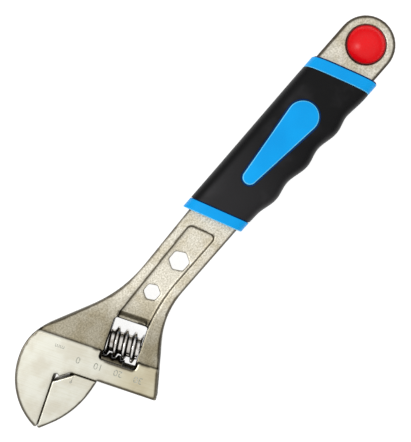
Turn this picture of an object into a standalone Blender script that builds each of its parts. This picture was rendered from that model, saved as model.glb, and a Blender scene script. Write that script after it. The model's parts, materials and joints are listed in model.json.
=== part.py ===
"""Adjustable wrench: forged body, sliding jaw on a rack, worm knurl on its pin, two-shot grip.

Frame: +X runs along the handle from the jaws to the hanging eye, +Y towards the straight back of
the handle, +Z out of the front face. The origin is under the middle of the bounding box.
The head has a frame of its own: +X is the way the jaw opens, +Y points from the jaws into the neck.
"""
import math

import bmesh
import bpy
import numpy as np
from mathutils import Matrix

MM = 0.001

# Fits
GAP = 0.3 * MM  # air kept between two pieces that touch or slide
JAW_GAP = 0.35 * MM  # between the gripping faces when the wrench is closed

# Head and jaws, in the head's frame
JAW_ANGLE = math.radians(22.5)  # jaws against the handle
HEAD_X = -96.0 * MM  # throat corner of the sliding face, along the handle
HEAD_Y = 0.7 * MM
HEAD_THICKNESS = 14.4 * MM
CHEEK_DEPTH = 14.7 * MM  # ground cheek, from the sliding face to its step
CHEEK_STEP_LENGTH = 1.0 * MM
FAR = 140.0 * MM  # well past the wrench's ends
JAW_REACH = 29.9 * MM  # jaw tips below the sliding face
THROAT_OFFSET = 9.85 * MM  # fixed gripping face before the throat corner
FIXED_JAW_BACK = 28.5 * MM  # outermost point of the fixed jaw before the throat corner
FIXED_JAW_RADIUS = 32.6 * MM
CROWN_RADIUS = 24.6 * MM
CROWN_DROP = 3.4 * MM  # corner of the crown below the step of the cheek
JAW_BACK_RISE = 9.6 * MM  # corner of the fixed jaw's back above its tip
SLIDE_LENGTH = 40.4 * MM  # sliding face
JAW_OPENING = 30.0 * MM  # travel of the movable jaw
JAW_SHOULDER = 10.5 * MM  # shoulder of the movable jaw on the sliding face
MOVABLE_JAW_RADIUS = 44.0 * MM
MOVABLE_JAW_KNEE = 13.7 * MM  # where the back of the movable jaw bends, above its tip
MOVABLE_JAW_SET = 3.1 * MM
MOVABLE_JAW_HEEL = 2.9 * MM  # lower end of the throat slope, past the relief
TIP_FLAT = 1.2 * MM
THROAT_RELIEF = 3.8 * MM  # depth of the relief in the throat below the sliding face
THROAT_STEP = 1.1 * MM
THROAT_NOSE = 0.4 * MM
THROAT_RUN = 2.5 * MM  # start of the straight sliding face before the throat corner
EDGE_CHAMFER = 0.7 * MM
CORNER = 0.6 * MM  # radius of small outline corners
SHARP_CORNER = 0.3 * MM
TIP_CORNER = 0.8 * MM

# Rack and its channel
ROD_RADIUS = 5.2 * MM
ROD_DEPTH = 9.0 * MM  # rod axis above the sliding face
ROD_BACK = 14.0 * MM  # rod end behind the throat corner
ROD_FRONT = 20.0 * MM  # rod end ahead of it
WEB_THICKNESS = 5.2 * MM
WEB_BACK = 3.0 * MM
WEB_ROOT = 2.4 * MM  # how deep the web reaches into the blade
WEB_SET = 0.5 * MM  # web behind the shoulder of the jaw
ROD_CHAMFER = 0.5 * MM

# Knurl (worm), its pin and its friction spring
PITCH = 4.3 * MM
KNURL_RADIUS = 7.55 * MM
KNURL_ROOT_RADIUS = 5.3 * MM
KNURL_LENGTH = 15.8 * MM
KNURL_START = 9.2 * MM  # jaw-side end of the knurl, along the slide
WORM_BITE = 1.75 * MM  # depth to which the worm's crest dips below the rack's crest
CREST_WIDTH = 1.2 * MM
ROOT_WIDTH = 1.9 * MM
CREST_PHASE = 3.1 * MM  # first crest at the top of the knurl, from its jaw-side end
RACK_PLAY = 0.3 * MM
PIN_RADIUS = 2.0 * MM
PIN_HEAD_RADIUS = 3.0 * MM
PIN_HEAD_LENGTH = 3.0 * MM
PIN_TIP = 0.5 * MM
PIN_BITE = 5.0 * MM  # how far the pin enters the wall on the jaw side
PIN_INSET = 6.4 * MM  # slotted end of the pin before the end of the sliding face
SLOT_WIDTH = 1.0 * MM
SLOT_DEPTH = 1.0 * MM
SPRING_WIRE = 0.7 * MM
SPRING_RADIUS = 3.05 * MM
SPRING_TURNS = 2.5
SPRING_WELL = 3.4 * MM

# Window for the knurl
WINDOW_DIP = 3.4 * MM  # floor of the window below the rack's crest
THUMB_GAP = 3.75 * MM  # air above the knurl
WINDOW_FLARE = 1.0 * MM  # extra width of the window where it cuts the raised cheek
WINDOW_FLARE_CORNER = 1.4 * MM
WINDOW_BACK_CORNER = 0.4 * MM
FLARE_SINK = 0.1 * MM  # floor of the flare below the face of the neck
WINDOW_FLARE_RUN = 4.0 * MM  # how far the flare runs past the step of the cheek
LIP_LENGTH = 1.7 * MM
LIP_SLOPE = 2.0 * MM
LIP_THICKNESS = 2.4 * MM
LIP_MARGIN = 1.1 * MM  # solid left beside the lip

# Neck, shank and tang
NECK_THICKNESS = 11.8 * MM
NECK_TAPER = 45.0 * MM  # length over which the neck thins to the shank
SHANK_THICKNESS = 9.6 * MM
SHANK_WIDTH = 23.8 * MM
BACK_BEND_X = -52.0 * MM  # where the lines of the neck and the shank's back would meet
BACK_BEND_Y = 9.9 * MM
BACK_BEND_RADIUS = 68.0 * MM
BELLY_BEND_X = -47.1 * MM
BELLY_BEND_RADIUS = 42.0 * MM
TANG_WIDTH = 19.0 * MM
TANG_THICKNESS = 6.0 * MM
EYE_X = 114.0 * MM
EYE_RADIUS = 14.3 * MM
EYE_HOLE_RADIUS = 9.0 * MM
EYE_HOLE_CHAMFER = 1.2 * MM

# Recessed panel with two hexagonal holes
WEB_PLATE = 5.2 * MM
PANEL_END_X = -4.6 * MM
PANEL_WIDTH = 13.8 * MM
PANEL_CORNER = 2.2 * MM
PANEL_MOUTH = 1.0 * MM  # belly-side corner of the panel before the top of the knurl window
PANEL_MOUTH_CORNER = 4.0 * MM
PANEL_NARROW_X = -60.0 * MM
PANEL_BACK_Y = 4.6 * MM
PANEL_BELLY_X = -42.5 * MM
PANEL_BELLY_RADIUS = 80.0 * MM
HEX_LARGE = 8.8 * MM
HEX_LARGE_X = -23.3 * MM
HEX_SMALL = 7.3 * MM
HEX_SMALL_X = -43.2 * MM
HEX_Y = -0.9 * MM

# Grip
COLLAR_SLANT = 0.312  # run of the collars' faces along the handle for each step across it
FRONT_COLLAR_X = 2.4 * MM
FRONT_COLLAR_WIDTH = 5.8 * MM
REAR_COLLAR_X = 91.2 * MM
REAR_COLLAR_WIDTH = 6.3 * MM
GRIP_THICKNESS = 22.0 * MM
GRIP_END_THICKNESS = 20.0 * MM
FRONT_BACK_WALL = 3.2 * MM  # grip beyond the shank's back edge at the front collar
FRONT_BELLY_WALL = 2.1 * MM
REAR_BACK_WALL = 1.4 * MM  # grip beyond the eye plate's edge at the rear collar
REAR_BELLY_WALL = 1.4 * MM
REAR_FLARE = 1.1 * MM  # extra swell of the belly at the rear collar
FLARE_START = 18.0 * MM  # where the swell begins, before the grip's rear end
FLARE_LENGTH = 14.0 * MM
BELLY_HASTE = 1.7  # the belly reaches its rear size this much sooner than the back
GRIP_END_RUN = 20.0 * MM  # length over which the grip thickens at each end
SLEEVE_CORNER = 3.0 * MM
FINGER_FIRST_X = 28.5 * MM
FINGER_PITCH = 21.5 * MM
FINGER_COUNT = 3
FINGER_DEPTH = 1.8 * MM
GRIP_SQUARENESS = 3.4  # exponent of the grip's cross-section
COVER_WALL = 2.6 * MM
BADGE_BIG_X = 66.9 * MM
BADGE_BIG_RADIUS = 7.7 * MM
BADGE_SMALL_X = 28.8 * MM
BADGE_SMALL_RADIUS = 3.5 * MM
BADGE_STAND = 0.2 * MM  # badge above the cover
BADGE_ROOT = 1.0 * MM  # how deep it reaches into the sleeve

# Plug in the hanging eye
PLUG_LIP = 0.5 * MM  # dome beyond the eye's bore
PLUG_DOME = 4.6 * MM
PLUG_BOSS_RADIUS = 4.0 * MM
PLUG_BOSS_LENGTH = 2.2 * MM
PLUG_RIM = 0.4 * MM
DOME_ANGLE = math.radians(86.0)  # the dome stops short of its pole with a small flat

# Fineness of curves
ARC_STEP = math.radians(9.0)
ARC_CHORD = 3.0 * MM
ROUND_SIDES = 40
WIRE_SIDES = 8
WIRE_STEPS = 16  # rings of the spring per turn
GRIP_SIDES = 28
COVER_STEP = 3.3 * MM  # spacing of the cover's sections
COLLAR_STEP = 2.0 * MM
BADGE_STEPS = 14
DOME_STEPS = 8
SMOOTH_ANGLE = math.radians(30.0)
THREAD_SIDES = 40
BEYOND = 5.0 * MM  # how far a cutter runs past what it cuts
MERGE = 0.01 * MM  # outline points closer than this are one

# Places that follow from the sizes above
RACK_CREST = ROD_DEPTH + ROD_RADIUS
KNURL_DEPTH = RACK_CREST - WORM_BITE + KNURL_RADIUS
WINDOW_START = KNURL_START - GAP
WINDOW_END = KNURL_START + KNURL_LENGTH + GAP
WINDOW_FLOOR = RACK_CREST - WINDOW_DIP
WINDOW_TOP = KNURL_DEPTH + KNURL_RADIUS + THUMB_GAP
PIN_END = SLIDE_LENGTH - PIN_INSET
GRIP_BACK_Y = SHANK_WIDTH / 2 + FRONT_BACK_WALL
GRIP_BELLY_Y = SHANK_WIDTH / 2 + FRONT_BELLY_WALL
REAR_BACK_Y = EYE_RADIUS + REAR_BACK_WALL
REAR_BELLY_Y = EYE_RADIUS + REAR_BELLY_WALL
PLUG_RADIUS = EYE_HOLE_RADIUS + PLUG_LIP

for old in list(bpy.data.objects):
    bpy.data.objects.remove(old)


# ---------------------------------------------------------------- helpers

def head(along, into):
    """A point of the head's frame in the wrench's frame."""
    turn = JAW_ANGLE - math.pi / 2
    x = HEAD_X + along * math.cos(turn) - into * math.sin(turn)
    y = HEAD_Y + along * math.sin(turn) + into * math.cos(turn)
    return x, y


def rounded(corners):
    """Turn (x, y, radius) corners into an outline whose corners are arcs."""
    points = []
    count = len(corners)
    for index, (x, y, radius) in enumerate(corners):
        here = np.array([x, y])
        before = np.array(corners[index - 1][:2]) - here
        after = np.array(corners[(index + 1) % count][:2]) - here
        before /= np.linalg.norm(before)
        after /= np.linalg.norm(after)
        inside = math.acos(max(-1.0, min(1.0, float(before @ after))))
        turn = math.pi - inside
        if radius <= 0 or turn < 1e-4:
            points.append((x, y))
            continue
        reach = radius * math.tan(turn / 2)
        start = here + before * reach
        middle = before + after
        centre = here + middle / np.linalg.norm(middle) * radius / math.sin(inside / 2)
        spoke = start - centre
        side = 1.0 if before[0] * after[1] - before[1] * after[0] < 0 else -1.0
        steps = max(2, math.ceil(turn / ARC_STEP), math.ceil(turn * radius / ARC_CHORD))
        for step in range(steps + 1):
            angle = side * turn * step / steps
            cosine = math.cos(angle)
            sine = math.sin(angle)
            points.append((centre[0] + spoke[0] * cosine - spoke[1] * sine,
                           centre[1] + spoke[0] * sine + spoke[1] * cosine))
    return [point for index, point in enumerate(points)
            if math.dist(point, points[index - 1]) > MERGE]


def inset(outline, distance):
    """Move every side of a counter-clockwise outline inwards."""
    moved = []
    count = len(outline)
    for index in range(count):
        here = np.array(outline[index])
        first = here - np.array(outline[index - 1])
        second = np.array(outline[(index + 1) % count]) - here
        first /= np.linalg.norm(first)
        second /= np.linalg.norm(second)
        normal = np.array([-first[1] - second[1], first[0] + second[0]])
        normal /= 1.0 + float(first @ second)
        moved.append(tuple(here + normal * distance))
    return moved


def finish(name, mesh, parent, colour=None, cutter=False):
    """Put a mesh in the scene under its parent frame, as a piece or as a hidden cutter."""
    thing = bpy.data.objects.new(name, mesh)
    bpy.context.scene.collection.objects.link(thing)
    thing.parent = parent
    if cutter:
        thing.hide_render = True
        thing.display_type = "WIRE"
    if colour:
        material = bpy.data.materials.new(name)
        material.use_nodes = True
        shader = material.node_tree.nodes["Principled BSDF"]
        red, green, blue, roughness, metallic = colour
        shader.inputs["Base Color"].default_value = (red, green, blue, 1.0)
        shader.inputs["Roughness"].default_value = roughness
        shader.inputs["Metallic"].default_value = metallic
        mesh.materials.append(material)
    return thing


def stack(name, rings, parent, colour=None, cutter=False):
    """Join closed rings of equal length, cap both ends, and make one solid."""
    solid = bmesh.new()
    layers = [[solid.verts.new(point) for point in ring] for ring in rings]
    for lower, upper in zip(layers, layers[1:]):
        for index in range(len(lower)):
            after = (index + 1) % len(lower)
            solid.faces.new((lower[index], lower[after], upper[after], upper[index]))
    solid.faces.new(layers[0][::-1])
    solid.faces.new(layers[-1])
    bmesh.ops.recalc_face_normals(solid, faces=solid.faces)
    mesh = bpy.data.meshes.new(name)
    solid.to_mesh(mesh)
    solid.free()
    mesh.shade_smooth()
    mesh.set_sharp_from_angle(angle=SMOOTH_ANGLE)
    return finish(name, mesh, parent, colour, cutter)


def prism(name, outline, low, high, parent, chamfer=0.0, colour=None, cutter=False):
    """Extrude an outline along Z, with an optional chamfer round both ends."""
    levels = [(low, 0.0), (high, 0.0)]
    if chamfer:
        levels = [(low, chamfer), (low + chamfer, 0.0), (high - chamfer, 0.0), (high, chamfer)]
    rings = []
    for height, distance in levels:
        ring = inset(outline, distance) if distance else outline
        rings.append([(x, y, height) for x, y in ring])
    return stack(name, rings, parent, colour, cutter)


def turned(name, profile, parent, colour=None, cutter=False, axis="X", sides=ROUND_SIDES):
    """Turn (along, radius) steps about an axis into a solid of stacked rings."""
    rings = []
    for along, radius in profile:
        ring = []
        for side in range(sides):
            angle = 2 * math.pi * side / sides
            across = radius * math.cos(angle)
            up = radius * math.sin(angle)
            ring.append((along, across, up) if axis == "X" else (across, up, along))
        rings.append(ring)
    return stack(name, rings, parent, colour, cutter)


def box(name, low, high, parent, cutter=True):
    """A box between two corners."""
    outline = [(low[0], low[1]), (high[0], low[1]), (high[0], high[1]), (low[0], high[1])]
    return prism(name, outline, low[2], high[2], parent, cutter=cutter)


def combine(target, tool, operation):
    """Add a Boolean modifier with the exact solver."""
    modifier = target.modifiers.new(tool.name, "BOOLEAN")
    modifier.operation = operation
    modifier.object = tool
    modifier.solver = "EXACT"
    return target


def cut(target, *tools):
    for tool in tools:
        combine(target, tool, "DIFFERENCE")


def join(target, *tools):
    for tool in tools:
        combine(target, tool, "UNION")


def keep_inside(target, tool):
    combine(target, tool, "INTERSECT")


# ---------------------------------------------------------------- frames

wrench_frame = bpy.data.objects.new("wrench_frame", None)
head_frame = bpy.data.objects.new("head_frame", None)
for empty in (wrench_frame, head_frame):
    bpy.context.scene.collection.objects.link(empty)
head_frame.parent = wrench_frame
head_frame.location = (HEAD_X, HEAD_Y, 0.0)
head_frame.rotation_euler = (0.0, 0.0, JAW_ANGLE - math.pi / 2)

STEEL = (0.62, 0.60, 0.54, 0.32, 1.0)
GROUND_STEEL = (0.80, 0.79, 0.75, 0.24, 1.0)
POLISHED_STEEL = (0.72, 0.70, 0.68, 0.16, 1.0)
SPRING_STEEL = (0.45, 0.45, 0.46, 0.30, 1.0)
BLUE = (0.01, 0.33, 0.82, 0.42, 0.0)
BLACK = (0.025, 0.025, 0.027, 0.62, 0.0)
RED = (0.80, 0.01, 0.015, 0.14, 0.0)


# ---------------------------------------------------------------- forged body

def slant(x, y):
    """A point on a line across the handle that leans like the collars."""
    return x - COLLAR_SLANT * y, y


def forging_outline():
    """Head, neck and shank, counter-clockwise from the end of the shank inside the grip."""
    half = SHANK_WIDTH / 2
    shank_end = FRONT_COLLAR_X + FRONT_COLLAR_WIDTH / 2
    crown = (-FIXED_JAW_BACK, CHEEK_DEPTH - CROWN_DROP)
    jaw_back = (-FIXED_JAW_BACK, -JAW_REACH + JAW_BACK_RISE)
    tip = -THROAT_OFFSET - TIP_FLAT
    relief = THROAT_RELIEF / 2
    relief_top = -THROAT_RELIEF + THROAT_STEP
    return rounded([
        (*slant(shank_end, -half), 0),
        (*slant(shank_end, half), 0),
        (BACK_BEND_X, BACK_BEND_Y, BACK_BEND_RADIUS),
        (*head(*crown), CROWN_RADIUS),
        (*head(*jaw_back), FIXED_JAW_RADIUS),
        (*head(tip, -JAW_REACH), TIP_CORNER),
        (*head(-THROAT_OFFSET, -JAW_REACH), SHARP_CORNER),
        (*head(-THROAT_OFFSET, relief_top), relief / 2.4),
        (*head(-THROAT_OFFSET + relief, relief_top), relief / 2.4),
        (*head(-THROAT_OFFSET + relief + THROAT_NOSE, -THROAT_RELIEF), SHARP_CORNER),
        (*head(-THROAT_RUN, 0.0), CORNER),
        (*head(SLIDE_LENGTH, 0.0), TIP_CORNER),
        (BELLY_BEND_X, -half, BELLY_BEND_RADIUS),
    ])


def thickness_profile():
    """Side view of the forging in the head's frame: cheeks, their step, and the tapering neck."""
    cheek = HEAD_THICKNESS / 2
    neck = NECK_THICKNESS / 2
    shank = SHANK_THICKNESS / 2
    step = CHEEK_STEP_LENGTH / 2
    taper_end = CHEEK_DEPTH + NECK_TAPER
    upper = [(-JAW_REACH - BEYOND, cheek), (CHEEK_DEPTH - step, cheek),
             (CHEEK_DEPTH + step, neck), (taper_end, shank), (FAR, shank)]
    loop = upper + [(into, -height) for into, height in reversed(upper)]
    return [[(along, into, height) for into, height in loop] for along in (-FAR, FAR)]


def tang_outline(grow=0.0):
    """Tang inside the grip with the wide hanging eye behind it."""
    narrow = TANG_WIDTH / 2 + grow
    wide = EYE_RADIUS + grow
    start = FRONT_COLLAR_X - FRONT_COLLAR_WIDTH
    step = REAR_COLLAR_X + REAR_COLLAR_WIDTH / 2 - grow
    end = EYE_X + wide
    return rounded([
        (start, -narrow, 0),
        (*slant(step, -narrow), 0),
        (*slant(step, -wide), 0),
        (end, -wide, wide),
        (end, wide, wide),
        (*slant(step, wide), 0),
        (*slant(step, narrow), 0),
        (start, narrow, 0),
    ])


def panel_outline():
    """Recessed panel of the shank; it runs out into the knurl window."""
    half = PANEL_WIDTH / 2
    return rounded([
        (*slant(PANEL_END_X, -half), PANEL_CORNER),
        (*slant(PANEL_END_X, half), PANEL_CORNER),
        (PANEL_NARROW_X, PANEL_BACK_Y, PANEL_CORNER),
        (*head(WINDOW_START, WINDOW_TOP - BEYOND), 0),
        (*head(WINDOW_END, WINDOW_TOP - BEYOND), 0),
        (*head(WINDOW_END, WINDOW_TOP - PANEL_MOUTH), PANEL_MOUTH_CORNER),
        (PANEL_BELLY_X, -half, PANEL_BELLY_RADIUS),
    ])


def hexagon(centre_x, across_flats):
    """Hexagon with two flats along the handle."""
    reach = across_flats / math.sqrt(3)
    corners = []
    for index in range(6):
        angle = math.pi * index / 3
        corners.append((centre_x + reach * math.cos(angle), HEX_Y + reach * math.sin(angle)))
    return corners


def channel_tools(parent):
    """Round channel for the rack rod, slot for its web, and the pin's holes."""
    bore = turned("channel", [(-ROD_BACK - GAP, ROD_RADIUS + GAP),
                              (SLIDE_LENGTH + BEYOND, ROD_RADIUS + GAP)], parent, cutter=True)
    bore.location = (0.0, ROD_DEPTH, 0.0)
    half = WEB_THICKNESS / 2 + GAP
    slot = box("web_slot", (-WEB_BACK - GAP, -BEYOND, -half),
               (SLIDE_LENGTH + BEYOND, ROD_DEPTH, half), parent)
    pin_hole = turned("pin_hole", [(WINDOW_START - PIN_BITE - GAP, PIN_RADIUS + GAP),
                                   (PIN_END + FAR, PIN_RADIUS + GAP)], parent, cutter=True)
    seat = PIN_END - PIN_HEAD_LENGTH - GAP
    head_hole = turned("pin_head_hole", [(seat, PIN_HEAD_RADIUS + GAP),
                                         (PIN_END + FAR, PIN_HEAD_RADIUS + GAP)],
                       parent, cutter=True)
    pin_hole.location = (0.0, KNURL_DEPTH, 0.0)
    head_hole.location = (0.0, KNURL_DEPTH, 0.0)
    return bore, slot, pin_hole, head_hole


def window_tools(parent):
    """Through window for the knurl, its flare in the raised cheeks and the thin lip above it."""
    tall = HEAD_THICKNESS
    through = box("knurl_window", (WINDOW_START, WINDOW_FLOOR, -tall),
                  (WINDOW_END, WINDOW_TOP, tall), parent)
    tools = [through]
    flare_top = CHEEK_DEPTH + WINDOW_FLARE_RUN
    for side in (-1, 1):
        low, high = sorted((side * (NECK_THICKNESS / 2 - FLARE_SINK), side * tall))
        corners = [(WINDOW_START - WINDOW_FLARE, WINDOW_FLOOR, WINDOW_BACK_CORNER),
                   (WINDOW_END + WINDOW_FLARE, WINDOW_FLOOR, WINDOW_FLARE_CORNER),
                   (WINDOW_END + WINDOW_FLARE, flare_top, 0),
                   (WINDOW_START - WINDOW_FLARE, flare_top, 0)]
        name = "window_flare_front" if side > 0 else "window_flare_back"
        tools.append(prism(name, rounded(corners), low, high, parent, cutter=True))
        slope_end = WINDOW_TOP + LIP_LENGTH + LIP_SLOPE
        loop = [(WINDOW_TOP - BEYOND, side * LIP_THICKNESS / 2),
                (WINDOW_TOP + LIP_LENGTH, side * LIP_THICKNESS / 2),
                (slope_end, side * WEB_PLATE / 2),
                (slope_end, side * (WEB_PLATE / 2 + LIP_MARGIN)),
                (WINDOW_TOP - BEYOND, side * (WEB_PLATE / 2 + LIP_MARGIN))]
        name = "lip_front" if side > 0 else "lip_back"
        rings = [[(along, into, height) for into, height in loop]
                 for along in (WINDOW_START + LIP_MARGIN, WINDOW_END - LIP_MARGIN)]
        tools.append(stack(name, rings, parent, cutter=True))
    return tools


def make_body():
    outline = forging_outline()
    body = prism("wrench_body", outline, -HEAD_THICKNESS / 2, HEAD_THICKNESS / 2, wrench_frame,
                 colour=STEEL)
    keep_inside(body, stack("thickness", thickness_profile(), head_frame, cutter=True))
    tang = prism("tang", tang_outline(), -TANG_THICKNESS / 2, TANG_THICKNESS / 2, wrench_frame,
                 chamfer=EDGE_CHAMFER, cutter=True)
    join(body, tang)
    for side in (-1, 1):
        floor = side * WEB_PLATE / 2
        low, high = sorted((floor, side * HEAD_THICKNESS))
        name = "panel_front" if side > 0 else "panel_back"
        cut(body, prism(name, panel_outline(), low, high, wrench_frame, cutter=True))
    cut(body, *window_tools(head_frame))
    cut(body, *channel_tools(head_frame))
    for name, centre_x, size in (("hex_large", HEX_LARGE_X, HEX_LARGE),
                                 ("hex_small", HEX_SMALL_X, HEX_SMALL)):
        cut(body, prism(name, hexagon(centre_x, size), -HEAD_THICKNESS, HEAD_THICKNESS,
                        wrench_frame, cutter=True))
    face = TANG_THICKNESS / 2
    mouth = EYE_HOLE_RADIUS + EYE_HOLE_CHAMFER
    eye = turned("eye_hole", [(-face - BEYOND, mouth + BEYOND), (-face, mouth),
                              (-face + EYE_HOLE_CHAMFER, EYE_HOLE_RADIUS),
                              (face - EYE_HOLE_CHAMFER, EYE_HOLE_RADIUS),
                              (face, mouth), (face + BEYOND, mouth + BEYOND)],
                 wrench_frame, cutter=True, axis="Z")
    eye.location = (EYE_X, 0.0, 0.0)
    cut(body, eye)
    return body


# ---------------------------------------------------------------- movable jaw

def rack_groove(name, place, parent):
    """One leaning groove between two rack teeth, where a turn of the worm runs."""
    flank = (PITCH - CREST_WIDTH - ROOT_WIDTH) / 2 / (KNURL_RADIUS - KNURL_ROOT_RADIUS)
    floor = RACK_CREST - WORM_BITE - GAP
    top = RACK_CREST + GAP
    half_floor = CREST_WIDTH / 2 + RACK_PLAY
    half_top = half_floor + flank * (top - floor)
    lean = PITCH / (2 * math.pi * KNURL_RADIUS)
    rings = []
    for height in (-ROD_RADIUS, ROD_RADIUS):
        shift = place - lean * height
        rings.append([(shift - half_floor, floor, height), (shift + half_floor, floor, height),
                      (shift + half_top, top, height), (shift - half_top, top, height)])
    return stack(name, rings, parent, cutter=True)


def make_jaw():
    """Blade with its shoulder, the web in the slot, and the round rod with the rack on top."""
    face = -THROAT_OFFSET + JAW_GAP
    corners = [
        (face, -JAW_REACH, CORNER),
        (face + TIP_FLAT, -JAW_REACH, TIP_CORNER),
        (JAW_SHOULDER - MOVABLE_JAW_SET, -JAW_REACH + MOVABLE_JAW_KNEE, MOVABLE_JAW_RADIUS),
        (JAW_SHOULDER, -GAP, CORNER),
        (-GAP, -GAP, CORNER),
        (face, -THROAT_RELIEF - MOVABLE_JAW_HEEL, CORNER),
    ]
    half = HEAD_THICKNESS / 2
    jaw = prism("movable_jaw", rounded(corners), -half, half, head_frame,
                chamfer=EDGE_CHAMFER / 2, colour=GROUND_STEEL)
    web = box("web", (-WEB_BACK, -WEB_ROOT, -WEB_THICKNESS / 2),
              (JAW_SHOULDER - WEB_SET, ROD_DEPTH, WEB_THICKNESS / 2), head_frame)
    rod = turned("rack_rod", [(-ROD_BACK, ROD_RADIUS - ROD_CHAMFER),
                              (-ROD_BACK + ROD_CHAMFER, ROD_RADIUS),
                              (ROD_FRONT - ROD_CHAMFER, ROD_RADIUS),
                              (ROD_FRONT, ROD_RADIUS - ROD_CHAMFER)], head_frame, cutter=True)
    rod.location = (0.0, ROD_DEPTH, 0.0)
    join(jaw, web, rod)
    under = KNURL_START + CREST_PHASE + PITCH / 2
    first = math.ceil((-ROD_BACK - PITCH / 2 - under) / PITCH)
    last = math.floor((ROD_FRONT + PITCH / 2 - under) / PITCH)
    for turn in range(first, last + 1):
        name = f"rack_groove_{turn - first + 1}"
        cut(jaw, rack_groove(name, under + turn * PITCH, head_frame))
    return jaw


# ---------------------------------------------------------------- knurl, pin and spring

def thread_blank(parent):
    """A right-hand worm, longer than the knurl, closed at both ends by a fan on its axis.

    Row for row each column climbs the thread's profile; after the last column the first one
    follows again, one turn further on.
    """
    flank = (PITCH - CREST_WIDTH - ROOT_WIDTH) / 2
    profile = [(-CREST_WIDTH / 2, KNURL_RADIUS),
               (CREST_WIDTH / 2, KNURL_RADIUS),
               (CREST_WIDTH / 2 + flank, KNURL_ROOT_RADIUS),
               (CREST_WIDTH / 2 + flank + ROOT_WIDTH, KNURL_ROOT_RADIUS)]
    steps = len(profile)
    spare = 3
    turns = math.ceil(KNURL_LENGTH / PITCH) + 2 * spare
    start = CREST_PHASE - spare * PITCH
    last_row = turns * steps
    solid = bmesh.new()
    columns = []
    for side in range(THREAD_SIDES):
        lead = side / THREAD_SIDES
        angle = 2 * math.pi * lead
        column = []
        for row in range(last_row + 1):
            turn, step = divmod(row, steps)
            along, radius = profile[step]
            place = start + (turn + lead) * PITCH + along
            across = radius * math.cos(angle)
            up = radius * math.sin(angle)
            column.append(solid.verts.new((place, across, up)))
        columns.append(column)
    neighbours = columns[1:] + [columns[0][steps:]]
    for here, there in zip(columns, neighbours):
        for row in range(len(there) - 1):
            solid.faces.new((here[row], here[row + 1], there[row + 1], there[row]))
    low_loop = [column[0] for column in columns] + columns[0][steps:0:-1]
    high_loop = [column[-1] for column in columns] + columns[-1][-2:-2 - steps:-1]
    last_lead = (THREAD_SIDES - 1) / THREAD_SIDES
    low_tip = start + PITCH / 2
    high_tip = start + (turns - 1 + last_lead) * PITCH + PITCH / 2
    for loop, tip in ((low_loop, low_tip), (high_loop, high_tip)):
        centre = solid.verts.new((tip, 0.0, 0.0))
        for index in range(len(loop)):
            solid.faces.new((loop[index], loop[(index + 1) % len(loop)], centre))
    bmesh.ops.recalc_face_normals(solid, faces=solid.faces)
    if solid.calc_volume(signed=True) < 0:
        bmesh.ops.reverse_faces(solid, faces=solid.faces)
    mesh = bpy.data.meshes.new("worm_thread")
    solid.to_mesh(mesh)
    solid.free()
    return finish("worm_thread", mesh, parent, cutter=True)


def make_knurl():
    """Bored cylinder whose outside is kept only where the worm thread fills it."""
    blank = KNURL_RADIUS + BEYOND
    knurl = turned("adjusting_knurl", [(0.0, blank), (KNURL_LENGTH, blank)], head_frame,
                   colour=POLISHED_STEEL)
    thread = thread_blank(head_frame)
    bore = turned("knurl_bore", [(-BEYOND, PIN_RADIUS + GAP),
                                 (KNURL_LENGTH + BEYOND, PIN_RADIUS + GAP)],
                  head_frame, cutter=True)
    well_radius = SPRING_RADIUS + SPRING_WIRE / 2 + GAP
    well = turned("spring_well", [(KNURL_LENGTH - SPRING_WELL, well_radius),
                                  (KNURL_LENGTH + BEYOND, well_radius)],
                  head_frame, cutter=True)
    for thing in (knurl, thread, bore, well):
        thing.location = (KNURL_START, KNURL_DEPTH, 0.0)
    keep_inside(knurl, thread)
    cut(knurl, bore, well)
    return knurl


def make_pin():
    """Plain pin, screwed in from the side of the head, with a slotted head."""
    seat = PIN_END - PIN_HEAD_LENGTH
    start = WINDOW_START - PIN_BITE
    pin = turned("knurl_pin", [(start, PIN_RADIUS - PIN_TIP), (start + PIN_TIP, PIN_RADIUS),
                               (seat, PIN_RADIUS), (seat, PIN_HEAD_RADIUS),
                               (PIN_END, PIN_HEAD_RADIUS)], head_frame, colour=SPRING_STEEL)
    pin.location = (0.0, KNURL_DEPTH, 0.0)
    slot = box("driver_slot", (PIN_END - SLOT_DEPTH, KNURL_DEPTH - SLOT_WIDTH / 2, -BEYOND),
               (PIN_END + BEYOND, KNURL_DEPTH + SLOT_WIDTH / 2, BEYOND), head_frame)
    cut(pin, slot)
    return pin


def make_spring():
    """Friction spring round the pin, between the floor of its well and the window's wall."""
    start = KNURL_LENGTH - SPRING_WELL + GAP + SPRING_WIRE / 2
    end = KNURL_LENGTH - SPRING_WIRE / 2
    steps = round(SPRING_TURNS * WIRE_STEPS)
    rings = []
    for step in range(steps + 1):
        share = step / steps
        angle = 2 * math.pi * SPRING_TURNS * share
        along = start + (end - start) * share
        ring = []
        for side in range(WIRE_SIDES):
            turn = 2 * math.pi * side / WIRE_SIDES
            radius = SPRING_RADIUS + SPRING_WIRE / 2 * math.cos(turn)
            shift = SPRING_WIRE / 2 * math.sin(turn)
            ring.append((along + shift, radius * math.cos(angle), radius * math.sin(angle)))
        rings.append(ring)
    spring = stack("knurl_spring", rings, head_frame, colour=SPRING_STEEL)
    spring.location = (KNURL_START, KNURL_DEPTH, 0.0)
    return spring


# ---------------------------------------------------------------- grip

def ease(share):
    """Smooth step from 0 to 1."""
    share = max(0.0, min(1.0, share))
    return share * share * (3 - 2 * share)


def finger_swell(x):
    """Swellings of the belly side between the fingers."""
    for finger in range(FINGER_COUNT):
        away = (x - FINGER_FIRST_X - finger * FINGER_PITCH) / FINGER_PITCH
        if abs(away) < 0.5:
            return FINGER_DEPTH * math.cos(math.pi * away) ** 2
    return 0.0


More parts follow.
